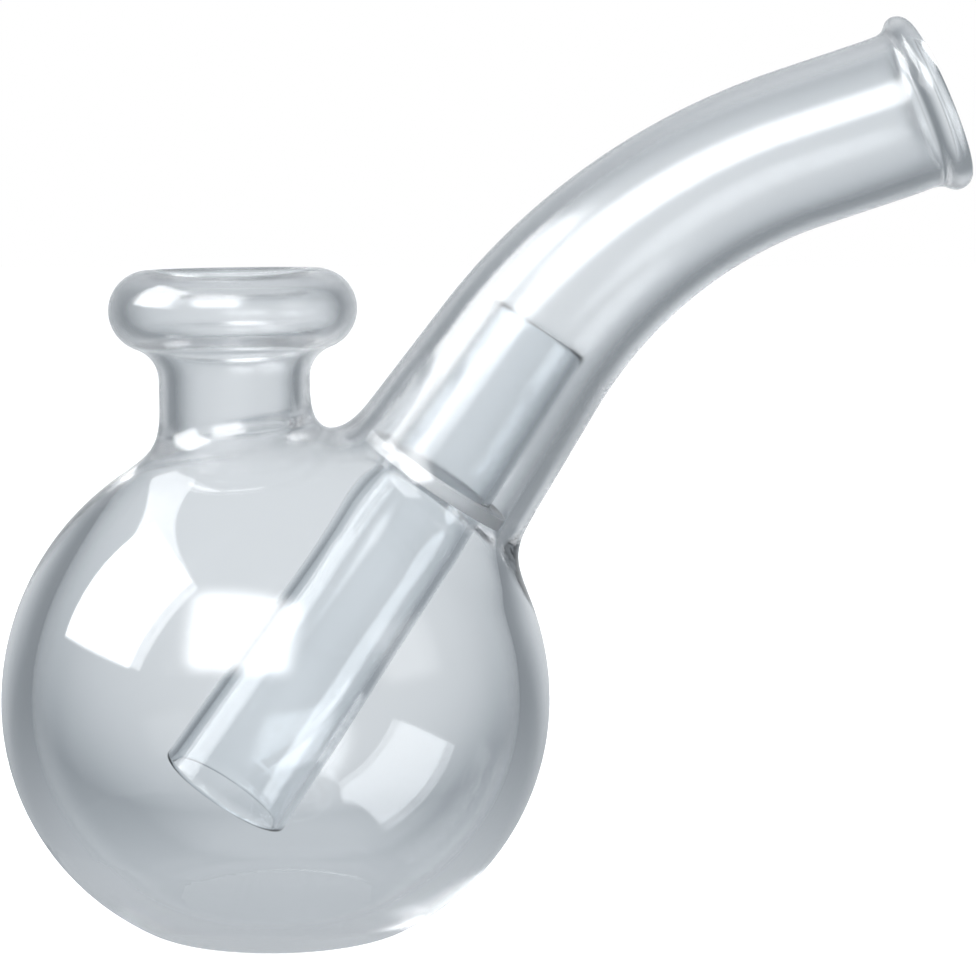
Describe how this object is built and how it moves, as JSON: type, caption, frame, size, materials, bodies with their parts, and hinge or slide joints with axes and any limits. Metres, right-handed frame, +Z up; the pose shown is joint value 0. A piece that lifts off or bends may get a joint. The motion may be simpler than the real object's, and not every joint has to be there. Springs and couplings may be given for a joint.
{
  "type": "retort flask",
  "caption": "Thick-walled round flask with a flat base, short neck with a rolled lip, bent side arm with a flared mouth, and a dip tube sealed into the arm.",
  "frame": {"origin": "centre of the flat base, on the bulb's vertical axis", "axes": "+Z up; +X is the side to which the arm leans and bends; the flask is symmetric about the XZ plane"},
  "size_m": [0.1766, 0.1004, 0.1672],
  "materials": {
    "wall_glass": "clear, fire-polished, faintly grey-blue thick borosilicate glass",
    "tube_glass": "clear thin drawn borosilicate tube with fire-polished ends",
    "seal_glass": "clear flame-welded ring, slightly wavy"
  },
  "bodies": {
    "root": {"bulb": "wall_glass", "neck_tube": "wall_glass", "rolled_lip": "wall_glass", "arm_root": "wall_glass", "arm_bend": "wall_glass", "arm_spout": "wall_glass", "flared_mouth": "wall_glass", "dip_tube": "tube_glass", "ring_seal": "seal_glass"}
  },
  "joints": []
}
